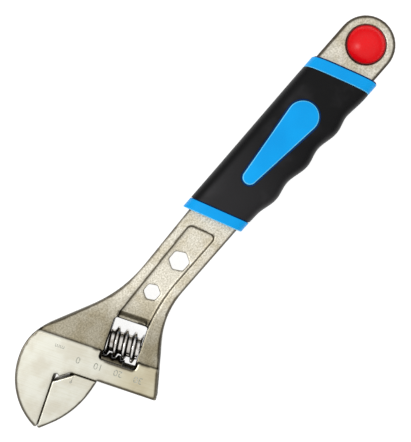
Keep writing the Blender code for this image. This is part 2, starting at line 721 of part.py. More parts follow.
def grip_size(x):
    """Reach of the grip towards the back, towards the belly, and half its thickness."""
    front = FRONT_COLLAR_X
    rear = REAR_COLLAR_X + REAR_COLLAR_WIDTH
    share = (x - front) / (rear - front)
    back = GRIP_BACK_Y + (REAR_BACK_Y - GRIP_BACK_Y) * ease(share)
    belly = GRIP_BELLY_Y + (REAR_BELLY_Y - GRIP_BELLY_Y) * ease(share * BELLY_HASTE)
    belly += REAR_FLARE * ease((x - rear + FLARE_START) / FLARE_LENGTH) + finger_swell(x)
    middle = ease((x - front) / GRIP_END_RUN) * ease((rear - x) / GRIP_END_RUN)
    half = GRIP_END_THICKNESS / 2 + (GRIP_THICKNESS - GRIP_END_THICKNESS) / 2 * middle
    return back, belly, half


def grip_ring(place, shrink=0.0):
    """Section of the grip on a plane that leans like the collars."""
    power = 2 / GRIP_SQUARENESS
    ring = []
    for side in range(GRIP_SIDES):
        angle = 2 * math.pi * (side + 0.5) / GRIP_SIDES
        cosine = math.cos(angle)
        sine = math.sin(angle)
        across = math.copysign(abs(cosine) ** power, cosine)
        up = math.copysign(abs(sine) ** power, sine)
        x = place - COLLAR_SLANT * across * GRIP_BELLY_Y
        back, belly, half = grip_size(x)
        y = across * ((back if across > 0 else belly) - shrink)
        ring.append((place - COLLAR_SLANT * y, y, up * (half - shrink)))
    return ring


def grip_rings(start, end, spacing, shrink=0.0):
    steps = max(1, round((end - start) / spacing))
    return [grip_ring(start + (end - start) * step / steps, shrink) for step in range(steps + 1)]


def sleeve_rings(start, end, grow=0.0):
    """Straight inner sleeve under the soft cover."""
    rings = []
    half_back = min(GRIP_BACK_Y, REAR_BACK_Y) - COVER_WALL + grow
    half_belly = min(GRIP_BELLY_Y, REAR_BELLY_Y) - COVER_WALL + grow
    half = GRIP_END_THICKNESS / 2 - COVER_WALL + grow
    for place in (start, end):
        section = rounded([(half_back, half, SLEEVE_CORNER), (-half_belly, half, SLEEVE_CORNER),
                           (-half_belly, -half, SLEEVE_CORNER), (half_back, -half, SLEEVE_CORNER)])
        rings.append([(place - COLLAR_SLANT * y, y, z) for y, z in section])
    return rings


def badge_outline(grow=0.0):
    """Teardrop: two circles of different size and the lines that touch both."""
    lean = math.asin((BADGE_BIG_RADIUS - BADGE_SMALL_RADIUS) / (BADGE_BIG_X - BADGE_SMALL_X))
    points = []
    for centre, radius, first, last in (
            (BADGE_BIG_X, BADGE_BIG_RADIUS + grow, -math.pi / 2 - lean, math.pi / 2 + lean),
            (BADGE_SMALL_X, BADGE_SMALL_RADIUS + grow, math.pi / 2 + lean,
             3 * math.pi / 2 - lean)):
        for step in range(BADGE_STEPS + 1):
            angle = first + (last - first) * step / BADGE_STEPS
            points.append((centre + radius * math.cos(angle), radius * math.sin(angle)))
    return points


def shank_socket(parent):
    """Room for the end of the shank inside the front collar."""
    half = SHANK_WIDTH / 2 + GAP
    end = FRONT_COLLAR_X + FRONT_COLLAR_WIDTH / 2 + GAP
    start = FRONT_COLLAR_X - 2 * BEYOND
    outline = [slant(start, -half), slant(end, -half), slant(end, half), slant(start, half)]
    deep = SHANK_THICKNESS / 2 + GAP
    return prism("shank_socket", outline, -deep, deep, parent, cutter=True)


def make_core():
    """Hard inner shot: both collars, the sleeve on the tang, and the two raised teardrops."""
    front_end = FRONT_COLLAR_X + FRONT_COLLAR_WIDTH
    rear_end = REAR_COLLAR_X + REAR_COLLAR_WIDTH
    core = stack("grip_core", grip_rings(FRONT_COLLAR_X, front_end, COLLAR_STEP),
                 wrench_frame,
                 colour=BLUE)
    rear = stack("rear_collar", grip_rings(REAR_COLLAR_X, rear_end, COLLAR_STEP),
                 wrench_frame, cutter=True)
    sleeve = stack("sleeve", sleeve_rings(front_end - COLLAR_STEP, REAR_COLLAR_X + COLLAR_STEP),
                   wrench_frame, cutter=True)
    join(core, sleeve, rear)
    top = GRIP_THICKNESS / 2 + BADGE_STAND
    inner = GRIP_END_THICKNESS / 2 - COVER_WALL - BADGE_ROOT
    for side in (-1, 1):
        low, high = sorted((side * inner, side * top))
        name = "badge_front" if side > 0 else "badge_back"
        join(core, prism(name, badge_outline(), low, high, wrench_frame, cutter=True))
    deep = TANG_THICKNESS / 2 + GAP
    tang = prism("tang_socket", tang_outline(GAP), -deep, deep, wrench_frame, cutter=True)
    cut(core, tang, shank_socket(wrench_frame))
    return core


def make_cover():
    """Soft outer shot between the collars, with a window for each teardrop."""
    start = FRONT_COLLAR_X + FRONT_COLLAR_WIDTH + GAP
    end = REAR_COLLAR_X - GAP
    cover = stack("grip_cover", grip_rings(start, end, COVER_STEP), wrench_frame,
                  colour=BLACK)
    hollow = stack("cover_hollow", sleeve_rings(start - BEYOND, end + BEYOND, GAP),
                   wrench_frame, cutter=True)
    cut(cover, hollow)
    for side in (-1, 1):
        low, high = sorted((side * GRIP_END_THICKNESS / 4, side * GRIP_THICKNESS))
        name = "badge_window_front" if side > 0 else "badge_window_back"
        cut(cover, prism(name, badge_outline(GAP), low, high, wrench_frame, cutter=True))
    return cover


# ---------------------------------------------------------------- eye plug

def plug_outside():
    """Steps (height, radius) from the middle plane to the top of the dome."""
    face = TANG_THICKNESS / 2
    neck = EYE_HOLE_RADIUS - GAP * 1.5
    seat = face - EYE_HOLE_CHAMFER
    steps = [(GAP / 2, neck), (seat, neck), (seat + PLUG_RADIUS - neck, PLUG_RADIUS),
             (face + PLUG_RIM, PLUG_RADIUS)]
    for step in range(1, DOME_STEPS + 1):
        angle = DOME_ANGLE * step / DOME_STEPS
        steps.append((face + PLUG_RIM + (PLUG_DOME - PLUG_RIM) * math.sin(angle),
                      PLUG_RADIUS * math.cos(angle)))
    return steps


def make_plugs():
    """Two domed halves that snap into each other through the eye."""
    boss = [(-PLUG_BOSS_LENGTH, PLUG_BOSS_RADIUS), (GAP / 2, PLUG_BOSS_RADIUS)]
    socket_radius = PLUG_BOSS_RADIUS + GAP
    socket = [(-PLUG_BOSS_LENGTH - GAP, socket_radius), (-GAP / 2, socket_radius)]
    mirrored = [(-height, radius) for height, radius in plug_outside()]
    plugs = [
        turned("eye_plug_front", boss + plug_outside(), wrench_frame, colour=RED, axis="Z"),
        turned("eye_plug_back", socket + mirrored, wrench_frame, colour=RED, axis="Z"),
    ]
    for plug in plugs:
        plug.location = (EYE_X, 0.0, 0.0)
    return plugs


def stand_on_origin(pieces):
    """Shift the whole wrench so that the origin is under the middle of its bounding box."""
    graph = bpy.context.evaluated_depsgraph_get()
    corners = []
    for piece in pieces:
        seen = piece.evaluated_get(graph)
        mesh = seen.to_mesh()
        place = Matrix(seen.matrix_world)
        corners += [tuple(place @ vertex.co) for vertex in mesh.vertices]
        seen.to_mesh_clear()
    low = np.min(corners, axis=0)
    high = np.max(corners, axis=0)
    wrench_frame.location = (-(low[0] + high[0]) / 2, -(low[1] + high[1]) / 2, -low[2])


pieces = [make_body(), make_jaw(), make_knurl(), make_pin(), make_spring(),
          make_core(), make_cover(), *make_plugs()]
bpy.context.view_layer.update()
stand_on_origin(pieces)
bpy.context.view_layer.update()
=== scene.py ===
import json
import math

import bpy
import numpy as np
from mathutils import Matrix, Vector
from mathutils.bvhtree import BVHTree


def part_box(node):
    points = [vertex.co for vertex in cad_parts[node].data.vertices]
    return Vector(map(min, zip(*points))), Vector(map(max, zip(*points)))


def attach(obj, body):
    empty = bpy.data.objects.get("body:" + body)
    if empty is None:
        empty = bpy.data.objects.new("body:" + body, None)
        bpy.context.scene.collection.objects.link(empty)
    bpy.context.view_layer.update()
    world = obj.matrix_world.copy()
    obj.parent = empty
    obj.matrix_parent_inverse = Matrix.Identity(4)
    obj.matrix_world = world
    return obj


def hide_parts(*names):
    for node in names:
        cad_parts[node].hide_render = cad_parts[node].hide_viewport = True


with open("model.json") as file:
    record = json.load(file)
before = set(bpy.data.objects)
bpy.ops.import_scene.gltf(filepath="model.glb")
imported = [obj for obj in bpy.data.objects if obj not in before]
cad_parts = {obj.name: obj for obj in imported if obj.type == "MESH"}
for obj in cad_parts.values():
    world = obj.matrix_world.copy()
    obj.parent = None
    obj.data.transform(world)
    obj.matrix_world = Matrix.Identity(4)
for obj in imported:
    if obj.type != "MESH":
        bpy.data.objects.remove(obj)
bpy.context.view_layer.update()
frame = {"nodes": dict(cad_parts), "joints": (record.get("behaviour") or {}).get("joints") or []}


# ---------------------------------------------------------------- forged body
# One drop forging of tool steel: fixed jaw, head, neck, shank, tang and hanging eye. It is
# tumbled and shot-blasted, so that no edge is left sharp, then satin plated, and last both
# cheeks of the head are ground bright.
MM = 0.001
joints = {joint["name"]: joint for joint in frame["joints"]}
OPENING = Vector(joints["jaw_slide"]["axis"])
INTO_NECK = Vector((-OPENING.y, OPENING.x, 0.0))
UP = Vector((0.0, 0.0, 1.0))
KNURL_MIDDLE = (17.1, 20.0)
THROAT = (Vector(joints["knurl_spin"]["pos_m"])
          - (OPENING * KNURL_MIDDLE[0] + INTO_NECK * KNURL_MIDDLE[1]) * MM)
WELD = 0.002 * MM
FORGING_GRAIN = 0.5 * MM
FORGING_ROUNDS = 4
NECK_HALF = 5.9
CHEEK_HALF = 7.2
CHEEK_END = 14.7
# An edge is an outer one if a line from a little in front of it, and a little nearer the
# middle of the forging, meets nothing within this reach.
OPEN_REACH = 26.0
EDGE_CLEAR = 0.8
EDGE_DROP = 1.7
EDGE_SHARPNESS = -0.02
LEVEL_FACE = 0.97
# Where painted shade starts, is full, is full last, and ends, in mm on the head.
RUN_OUT_ALONG = (9.0, 9.6, 25.6, 26.2)
RUN_OUT_INTO = (32.6, 33.0, 35.0, 35.6)
WINDOW_ALONG = (6.6, 7.2, 27.2, 27.8)
WINDOW_INTO = (9.6, 10.2, 32.0, 32.6)
CHEEK_STEP = (13.6, 14.4, 15.4, 16.2)
POCKET_INTO = (13.8, 13.2)
POCKET_UP = (6.9, 6.4)


def on_head(along, into, height=0.0):
    """A place on the head, in mm: along the way the jaw opens, into the neck, and up."""
    return THROAT + (OPENING * along + INTO_NECK * into + UP * height) * MM


def pick(piece):
    """Make one piece the only selected and active one."""
    bpy.ops.object.select_all(action="DESELECT")
    piece.select_set(True)
    bpy.context.view_layer.objects.active = piece


def copy_of_node(node, name):
    """The CAD node's mesh as a piece of its own, its loose triangles merged."""
    mesh = frame["nodes"][node].data.copy()
    mesh.materials.clear()
    piece = bpy.data.objects.new(name, mesh)
    bpy.context.scene.collection.objects.link(piece)
    pick(piece)
    bpy.ops.object.mode_set(mode="EDIT")
    bpy.ops.mesh.select_all(action="SELECT")
    bpy.ops.mesh.remove_doubles(threshold=WELD)
    bpy.ops.object.mode_set(mode="OBJECT")
    return piece


def finish_with(piece, kind, **settings):
    """Add a modifier with these settings and apply it."""
    pick(piece)
    modifier = piece.modifiers.new(kind.lower(), kind)
    for key, value in settings.items():
        setattr(modifier, key, value)
    bpy.ops.object.modifier_apply(modifier=modifier.name)


def tumble(piece, grain, rounds):
    """Round every edge as blasting does: a fine even mesh, then smoothing."""
    finish_with(piece, "REMESH", mode="VOXEL", voxel_size=grain, use_smooth_shade=True)
    finish_with(piece, "SMOOTH", factor=0.5, iterations=rounds)


def wall_of(node):
    """The CAD node's surface, for finding what lies in front of an edge."""
    mesh = frame["nodes"][node].data
    return BVHTree.FromPolygons([vertex.co for vertex in mesh.vertices],
                                [face.vertices for face in mesh.polygons])


def mark_creases(piece, fine=2, broad=9):
    """Store how hollow (above 0) or sharp (below 0) the surface is, as "crease", which way it
    faces, as "facing", and how near a point is to an outer edge, one with nothing close in
    front of it, as "edge"."""
    mesh = piece.data
    count = len(mesh.vertices)
    points = np.empty(count * 3)
    mesh.vertices.foreach_get("co", points)
    points = points.reshape(-1, 3)
    normals = np.empty(count * 3)
    mesh.vertex_normals.foreach_get("vector", normals)
    normals = normals.reshape(-1, 3)
    ends = np.empty(len(mesh.edges) * 2, int)
    mesh.edges.foreach_get("vertices", ends)
    first, second = ends.reshape(-1, 2).T
    step = points[second] - points[first]
    step /= np.maximum(np.linalg.norm(step, axis=1), 1e-9)[:, None]
    neighbours = np.maximum(np.bincount(ends, minlength=count), 1)

    def gather(from_first, from_second):
        return (np.bincount(first, from_second, count)
                + np.bincount(second, from_first, count)) / neighbours

    hollow = gather(-(step * normals[second]).sum(axis=1), (step * normals[first]).sum(axis=1))
    for _ in range(fine):
        hollow = (hollow + gather(hollow[first], hollow[second])) / 2
    mesh.attributes.new("crease", "FLOAT", "POINT").data.foreach_set("value", hollow)
    mesh.attributes.new("facing", "FLOAT_VECTOR", "POINT").data.foreach_set(
        "vector", normals.ravel())
    outer = np.zeros(count)
    upright = np.abs(normals[:, 2]) < LEVEL_FACE
    for index in np.flatnonzero((hollow < EDGE_SHARPNESS) & upright):
        outward = Vector((*normals[index, :2], 0.0)).normalized()
        start = Vector(points[index]) + outward * EDGE_CLEAR * MM
        start.z -= math.copysign(EDGE_DROP * MM, start.z - THROAT.z)
        if all(wall.ray_cast(start, outward, OPEN_REACH * MM)[0] is None for wall in walls):
            outer[index] = 1.0
    for _ in range(broad):
        outer = (outer + gather(outer[first], outer[second])) / 2
    mesh.attributes.new("edge", "FLOAT", "POINT").data.foreach_set("value", outer)


class Tone:
    """The output of a node, so that shader maths reads as plain sums."""

    def __init__(self, tree, socket=None):
        self.tree = tree
        self.socket = socket

    def node(self, kind, settings=None, inputs=None, output=0):
        """Any node: its settings first, then the values or links of its sockets."""
        made = self.tree.nodes.new("ShaderNode" + kind)
        for key, value in (settings or {}).items():
            setattr(made, key, value)
        for key, value in (inputs or {}).items():
            if isinstance(value, Tone):
                self.tree.links.new(value.socket, made.inputs[key])
            else:
                made.inputs[key].default_value = value
        return Tone(self.tree, made.outputs[output])

    def maths(self, operation, first, second):
        return self.node("Math", {"operation": operation}, {0: first, 1: second})

    def __add__(self, other):
        return self.maths("ADD", self, other)

    def __sub__(self, other):
        return self.maths("SUBTRACT", self, other)

    def __mul__(self, other):
        return self.maths("MULTIPLY", self, other)

    def __rsub__(self, other):
        return self.maths("SUBTRACT", other, self)

    __radd__ = __add__
    __rmul__ = __mul__

    def rise(self, low, high):
        """0 up to low, 1 from high, and a smooth step between them; low may be above high."""
        return self.node("MapRange", {"interpolation_type": "SMOOTHSTEP"},
                         {"Value": self, "From Min": low, "From Max": high})

    def band(self, start, full, last, end):
        """1 from full to last, and down to 0 at start and at end."""
        return self.rise(start, full) * self.rise(end, last)

    def between(self, none, full):
        """The colour none where this is 0, and full where it is 1."""
        return self.node("Mix", {"data_type": "RGBA"}, {0: self, 6: none, 7: full}, 2)

    def tint(self, colour, strength):
        """This colour darkened or tinted by colour, as far as strength says."""
        return self.node("Mix", {"data_type": "RGBA", "blend_type": "MULTIPLY"},
                         {0: strength, 6: self, 7: colour}, 2)

    def noise(self, place, scale, detail=2.0, roughness=0.5):
        return self.node("TexNoise", None, {"Vector": place, "Scale": scale,
                                            "Detail": detail, "Roughness": roughness})

    def along(self, place, direction, origin):
        """How far place lies from origin along direction, in mm."""
        reach = self.node("VectorMath", {"operation": "DOT_PRODUCT"},
                          {0: place, 1: tuple(direction)}, 1)
        return reach * (1 / MM) - Vector(origin).dot(Vector(direction)) / MM

    def stretched(self, place, turn, scale):
        """Coordinates turned about Z, then stretched, for brushed or drawn lines."""
        turned = self.node("Mapping", {"vector_type": "POINT"},
                           {"Vector": place, "Rotation": (0.0, 0.0, turn)})
        return self.node("VectorMath", {"operation": "MULTIPLY"}, {0: turned, 1: scale})

    def bump(self, height, distance, strength=1.0):
        return self.node("Bump", None, {"Height": height, "Distance": distance,
                                        "Strength": strength})


def colour(red, green, blue):
    """A colour given in the 0 to 255 steps of a screen, as Blender's linear values."""
    steps = [value / 255 for value in (red, green, blue)]
    return (*(step / 12.92 if step <= 0.04045 else ((step + 0.055) / 1.055) ** 2.4
              for step in steps), 1.0)


def new_material(name, **fixed):
    """A material with its fixed sockets set. Gives it, its nodes and its coordinates."""
    made = bpy.data.materials.new(name)
    made.use_nodes = True
    tone = Tone(made.node_tree)
    surface = made.node_tree.nodes["Principled BSDF"]
    for key, value in fixed.items():
        surface.inputs[key.replace("_", " ")].default_value = value
    place = tone.node("TexCoord", None, None, 3)
    return made, tone, place


def feed(made, **links):
    """Link what changes over the surface to the material's shader."""
    surface = made.node_tree.nodes["Principled BSDF"]
    for key, value in links.items():
        made.node_tree.links.new(value.socket, surface.inputs[key.replace("_", " ")])


def run_out(tone, place):
    """Painted shade on the sloping top of the window and in the pocket under the knurl."""
    along = tone.along(place, OPENING, THROAT)
    into = tone.along(place, INTO_NECK, THROAT)
    top = into.band(*RUN_OUT_INTO) * 0.8
    pocket = into.rise(*POCKET_INTO) * tone.along(place, UP, THROAT).rise(*POCKET_UP) * 0.6
    return along.band(*RUN_OUT_ALONG) * tone.maths("MAXIMUM", top, pocket)


def window_wall(tone, place):
    """The knurl's window and a little round it, where the steep walls get painted shade."""
    along = tone.along(place, OPENING, THROAT)
    into = tone.along(place, INTO_NECK, THROAT)
    return along.band(*WINDOW_ALONG) * into.band(*WINDOW_INTO)


def plated_steel(name, ground_to, lean):
    """Satin plating over a blasted forging, with its faces ground as far as ground_to."""
    made, tone, place = new_material(name, Metallic=1.0)
    height = tone.maths("ABSOLUTE", tone.along(place, UP, THROAT), 0.0)
    along = tone.along(place, OPENING, THROAT)
    into = tone.along(place, INTO_NECK, THROAT)
    facing = tone.node("Attribute", {"attribute_name": "facing"}, None, 1)
    level = tone.maths("ABSOLUTE", tone.node("SeparateXYZ", None, {0: facing}, 2), 0.0)
    side = level.rise(0.97, 0.6)
    crease = tone.node("Attribute", {"attribute_name": "crease"}, None, 2)
    edge = tone.node("Attribute", {"attribute_name": "edge"}, None, 2).rise(0.03, 0.4)
    crease_shade = crease.rise(0.03, 0.16)
    worn_edge_and_highlight = crease.rise(-0.05, -0.2)
    raised = height.rise(NECK_HALF + 0.5, NECK_HALF + 1.0)
    ground = into.rise(ground_to + 0.3, ground_to - 0.1) * raised
    speck = tone.noise(place, 1300.0, 3.0, 0.7)
    cloud = tone.noise(place, 110.0, 3.0)
    shot = speck.rise(0.3, 0.7).between(colour(188, 182, 165), colour(240, 235, 221))
    shot = shot.tint(colour(236, 232, 222), cloud.rise(0.42, 0.66))
    # Painted shade: the blasted steel greyer and darker nearer the head.
    shot = shot.tint(colour(184, 181, 172), into.rise(52.0, 24.0))
    # Painted shade, olive brown, on the top of the window and in the pocket under the knurl.
    shot = shot.tint(colour(120, 112, 92), run_out(tone, place))
    lines = tone.noise(tone.stretched(place, lean, (60.0, 1700.0, 60.0)), 1.0, 3.0, 0.6)
    bright = cloud.rise(0.35, 0.65).between(colour(220, 219, 207), colour(209, 205, 190))
    bright = bright.tint(colour(246, 245, 240), lines.rise(0.4, 0.75))
    # Painted shade: the ground cheeks darker and warmer further along the opening.
    bright = bright.tint(colour(238, 231, 214), along.rise(8.0, 26.0))
    base = ground.between(shot, bright)
    # Painted shade: a dark grey outline along the outer edges, where the rounding turns from the
    # light.
    base = base.tint(colour(112, 107, 100), edge)
    # Painted shade: faces that turn away from straight up are darker.
    base = base.tint(colour(150, 144, 134), side * 0.6)
    # Painted shade: the steep walls of the knurl's window are darker.
    base = base.tint(colour(66, 60, 50), window_wall(tone, place) * level.rise(0.96, 0.75))
    # Painted shade in hollows and creases, left off the step of the cheeks.
    base = base.tint(colour(96, 84, 68), crease_shade * (1 - into.band(*CHEEK_STEP)))
    # Sharp edges lighter: partly wear through the plating, partly a painted highlight.
    base = (worn_edge_and_highlight * 0.3).between(base, colour(250, 246, 232))
    rough_shot = speck * 0.16 + 0.38
    rough_ground = lines * 0.12 + 0.25
    rough = rough_shot * (1 - ground) + rough_ground * ground
    relief = speck * (1 - ground) + lines * ground * 0.25
    feed(made, Base_Color=base, Roughness=rough, Normal=tone.bump(relief, 0.05 * MM, 0.5))
    return made


walls = [wall_of("wrench_body"), wall_of("movable_jaw")]
forged_body = copy_of_node("wrench_body", "forged_body")
tumble(forged_body, FORGING_GRAIN, FORGING_ROUNDS)
mark_creases(forged_body)
GRINDING_LEAN = math.atan2(-OPENING.y, OPENING.x)
forged_body.data.materials.append(plated_steel("satin_forging", CHEEK_END, GRINDING_LEAN))
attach(forged_body, "root")
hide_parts("wrench_body")


# ---------------------------------------------------------------- scale
# The opening scale on the front cheek: four figures in millimetres and the unit, stamped a
# little into the ground face and left with dark colour in them. They read with the handle down.
SCALE_ZERO = -1.0
FIGURE_ROW = 6.9
FIGURE_SIZE = 3.1
SCALE_MARKS = [(str(opening), opening + SCALE_ZERO, FIGURE_ROW, FIGURE_SIZE)
               for opening in (0, 10, 20, 30)] + [("mm", -11.4, 10.0, 2.2)]
DIGIT_SHARE = 0.69
MARK_STAND = 0.02
MARK_DEPTH = 0.12
MARK_HEIGHT = MARK_STAND + MARK_DEPTH
MARK_MIDDLE = CHEEK_HALF + (MARK_STAND - MARK_DEPTH) / 2


def apply_place(piece):
    """Put a piece's place, turn and size into its mesh."""
    pick(piece)
    bpy.ops.object.transform_apply(location=True, rotation=True, scale=True)


def stamp_material(name, shade):
    """Dark colour left in a stamped mark, rubbed through to the steel in specks."""
    made, tone, place = new_material(name, Metallic=0.6)
    wear = tone.noise(place, 1300.0, 4.0, 0.7)
    feed(made, Base_Color=wear.rise(0.35, 0.7).between(shade, colour(205, 203, 192)),
         Roughness=wear * 0.3 + 0.4, Normal=tone.bump(wear, 0.03 * MM, 0.4))
    return made


stamp_colour = stamp_material("stamped_marks", colour(128, 132, 118))
marks = []
for text, along, into, size in SCALE_MARKS:
    bpy.ops.object.select_all(action="DESELECT")
    bpy.ops.object.text_add()
    mark = bpy.context.object
    mark.data.body = text
    mark.data.align_x = "CENTER"
    mark.data.align_y = "CENTER"
    mark.data.size = size / DIGIT_SHARE * MM
    mark.data.extrude = MARK_HEIGHT / 2 * MM
    mark.data.resolution_u = 5
    bpy.ops.object.convert(target="MESH")
    mark.matrix_world = Matrix.Translation(on_head(along, into, MARK_MIDDLE)) @ Matrix((
        (-OPENING.x, -INTO_NECK.x, 0, 0), (-OPENING.y, -INTO_NECK.y, 0, 0),
        (0, 0, 1, 0), (0, 0, 0, 1)))
    apply_place(mark)
    marks.append(mark)
pick(marks[0])
for mark in marks:
    mark.select_set(True)
bpy.ops.object.join()
scale = marks[0]
scale.name = "scale_figures"
bpy.ops.object.mode_set(mode="EDIT")
bpy.ops.mesh.select_all(action="SELECT")
bpy.ops.mesh.remove_doubles(threshold=0.001 * MM)
bpy.ops.object.mode_set(mode="OBJECT")
scale.data.materials.append(stamp_colour)
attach(scale, "root")


# ---------------------------------------------------------------- movable jaw
# The blade slides on the head: a second forging, ground on both faces and on its gripping
# face, with a web and a round rod that carries the rack. A punched dot and a line on its
# shoulder are read against the scale.
BLADE_GRAIN = 0.4 * MM
BLADE_ROUNDS = 3
DOT_PLACE = (-1.0, -4.3)
DOT_RADIUS = 0.55
LINE_START = (-0.85, -3.9)
LINE_END = (-0.7, -1.2)
LINE_HALF = 0.16

movable_jaw = copy_of_node("movable_jaw", "jaw_blade")
tumble(movable_jaw, BLADE_GRAIN, BLADE_ROUNDS)
mark_creases(movable_jaw)
movable_jaw.data.materials.append(plated_steel("ground_blade", 1.0, GRINDING_LEAN))
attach(movable_jaw, "jaw")
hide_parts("movable_jaw")

bpy.ops.object.select_all(action="DESELECT")
bpy.ops.mesh.primitive_cylinder_add(
    vertices=24, radius=DOT_RADIUS * MM, depth=MARK_HEIGHT * MM,
    location=on_head(*DOT_PLACE, MARK_MIDDLE))
index_mark = bpy.context.object
index_mark.name = "index_mark"
apply_place(index_mark)
line_start = on_head(*LINE_START, CHEEK_HALF - MARK_DEPTH)
line_end = on_head(*LINE_END, CHEEK_HALF - MARK_DEPTH)
bpy.ops.object.select_all(action="DESELECT")
bpy.ops.mesh.primitive_cube_add(size=1, location=(line_start + line_end) / 2
                                + UP * MARK_HEIGHT / 2 * MM)
index_line = bpy.context.object
run = line_end - line_start
index_line.scale = (run.length, LINE_HALF * 2 * MM, MARK_HEIGHT * MM)
index_line.rotation_euler.z = math.atan2(run.y, run.x)
apply_place(index_line)
pick(index_mark)
index_line.select_set(True)
bpy.ops.object.join()
index_mark.data.materials.append(stamp_material("index_colour", colour(112, 114, 104)))
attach(index_mark, "jaw")


# ---------------------------------------------------------------- knurl
# The adjusting worm, turned and polished: one right-hand thread with crowned crests, bored
# for its pin and counterbored for the friction spring. It sits in the window of the neck and
# its crests run in the grooves of the rack.
PITCH = 4.3
KNURL_RADIUS = 7.55
KNURL_START = 9.2
KNURL_LENGTH = 15.8
FIRST_CREST = 3.1
THREAD_STEPS = 96
THREAD_TURNS = 10
THREAD_PROFILE = ((-0.6, 7.25), (-0.52, 7.42), (-0.36, 7.53), (0.0, 7.55), (0.36, 7.53),
                  (0.52, 7.42), (0.6, 7.25), (1.12, 5.5), (1.3, 5.33), (1.6, 5.3),
                  (2.7, 5.3), (3.0, 5.33), (3.18, 5.5), (3.7, 7.25))
KNURL_BORE = 2.3
SPRING_WELL = 3.4
WELL_RADIUS = 3.7
END_CHAMFER = 0.5
CUT_SPARE = 1.0
BLANK_SPARE = 0.2


def edit(piece):
    """Open a piece in edit mode, all of it selected."""
    pick(piece)
    bpy.ops.object.mode_set(mode="EDIT")
    bpy.ops.mesh.select_all(action="SELECT")


def draw_line(name, points):
    """A chain of edges through points, drawn from one vertex by extruding it."""
    bpy.ops.object.select_all(action="DESELECT")
    bpy.ops.mesh.primitive_plane_add(size=MM, location=points[0])
    piece = bpy.context.object
    piece.name = name
    apply_place(piece)
    edit(piece)
    bpy.ops.mesh.select_mode(type="VERT")
    bpy.ops.mesh.merge(type="CENTER")
    for here, there in zip(points, points[1:]):
        bpy.ops.mesh.extrude_region_move(
            TRANSFORM_OT_translate={"value": Vector(there) - Vector(here)})
    bpy.ops.object.mode_set(mode="OBJECT")
    return piece


def carve(piece, tool, operation="DIFFERENCE"):
    """Cut a tool out of a piece, or keep what both share, and remove the tool."""
    finish_with(piece, "BOOLEAN", operation=operation, object=tool, solver="EXACT")
    bpy.data.objects.remove(tool)


def break_edges(piece, width, segments, sharpest=50):
    """Bevel every edge that turns by more than so many degrees."""
    finish_with(piece, "BEVEL", width=width * MM, segments=segments,
                limit_method="ANGLE", angle_limit=math.radians(sharpest))


def rod(name, radius, start, end, chamfer=0.0):
    """A round bar along X, between two places in mm."""
    bpy.ops.object.select_all(action="DESELECT")
    bpy.ops.mesh.primitive_cylinder_add(vertices=THREAD_STEPS, radius=radius * MM,
                                        depth=(end - start) * MM,
                                        location=((start + end) / 2 * MM, 0, 0),
                                        rotation=(0, math.pi / 2, 0))
    bar = bpy.context.object
    bar.name = name
    apply_place(bar)
    if chamfer:
        break_edges(bar, chamfer, 3, 60)
    return bar


def onto_head(piece, along, into):
    """Move a piece made along X to a place on the head, its X along the opening."""
    piece.matrix_world = Matrix.Translation(on_head(along, into)) @ Matrix((
        (OPENING.x, INTO_NECK.x, 0, 0), (OPENING.y, INTO_NECK.y, 0, 0),
        (0, 0, 1, 0), (0, 0, 0, 1)))
    apply_place(piece)


def turned_steel(name, shade, shine, lean, flank_shade=0.0):
    """Bright turned steel with fine rings round its axis, and painted shade in hollows and on
    flanks.
    """
    made, tone, place = new_material(name, Metallic=1.0)
    rings = tone.noise(tone.stretched(place, lean, (3200.0, 90.0, 90.0)), 1.0, 2.0)
    cloud = tone.noise(place, 300.0, 3.0)
    crease = tone.node("Attribute", {"attribute_name": "crease"}, None, 2)
    base = rings.rise(0.35, 0.7).between(shade, colour(250, 248, 244))
    facing = tone.node("Attribute", {"attribute_name": "facing"}, None, 1)
    flank = tone.node("VectorMath", {"operation": "DOT_PRODUCT"},
                      {0: facing, 1: tuple(OPENING)}, 1)
    flank = tone.maths("ABSOLUTE", flank, 0.0).rise(0.3, 0.7)
    # Painted shade on the thread's flanks.
    base = base.tint(colour(84, 76, 68), flank * flank_shade)
    # Painted shade in the thread's roots and other hollows.
    base = base.tint(colour(96, 86, 76), crease.rise(0.01, 0.1))
    base = base.tint(colour(170, 162, 152), cloud.rise(0.45, 0.75))
    feed(made, Base_Color=base, Roughness=rings * 0.1 + shine,
         Normal=tone.bump(rings, 0.01 * MM, 0.4))
    return made


knurl = draw_line("worm_knurl", [
    ((place + FIRST_CREST - 3 * PITCH) * MM, radius * MM, 0.0)
    for place, radius in THREAD_PROFILE])
finish_with(knurl, "SCREW", axis="X", screw_offset=PITCH * MM, iterations=THREAD_TURNS,
            steps=THREAD_STEPS, render_steps=THREAD_STEPS, use_merge_vertices=True,
            merge_threshold=WELD, use_smooth_shade=False)
edit(knurl)
bpy.ops.mesh.remove_doubles(threshold=WELD)
bpy.ops.mesh.bisect(plane_co=(-CUT_SPARE * MM, 0, 0), plane_no=(1, 0, 0), use_fill=True,
                    clear_inner=True)
bpy.ops.mesh.select_all(action="SELECT")
bpy.ops.mesh.bisect(plane_co=((KNURL_LENGTH + CUT_SPARE) * MM, 0, 0), plane_no=(1, 0, 0),
                    use_fill=True, clear_outer=True)
bpy.ops.mesh.select_all(action="SELECT")
bpy.ops.mesh.normals_make_consistent(inside=False)
bpy.ops.object.mode_set(mode="OBJECT")
carve(knurl, rod("blank", KNURL_RADIUS + BLANK_SPARE, 0.0, KNURL_LENGTH, END_CHAMFER),
      "INTERSECT")
carve(knurl, rod("bore", KNURL_BORE, -CUT_SPARE, KNURL_LENGTH + CUT_SPARE))
carve(knurl, rod("well", WELL_RADIUS, KNURL_LENGTH - SPRING_WELL, KNURL_LENGTH + CUT_SPARE))
onto_head(knurl, KNURL_START, KNURL_MIDDLE[1])
mark_creases(knurl, 1)
pick(knurl)
bpy.ops.object.shade_smooth_by_angle(angle=math.radians(35))
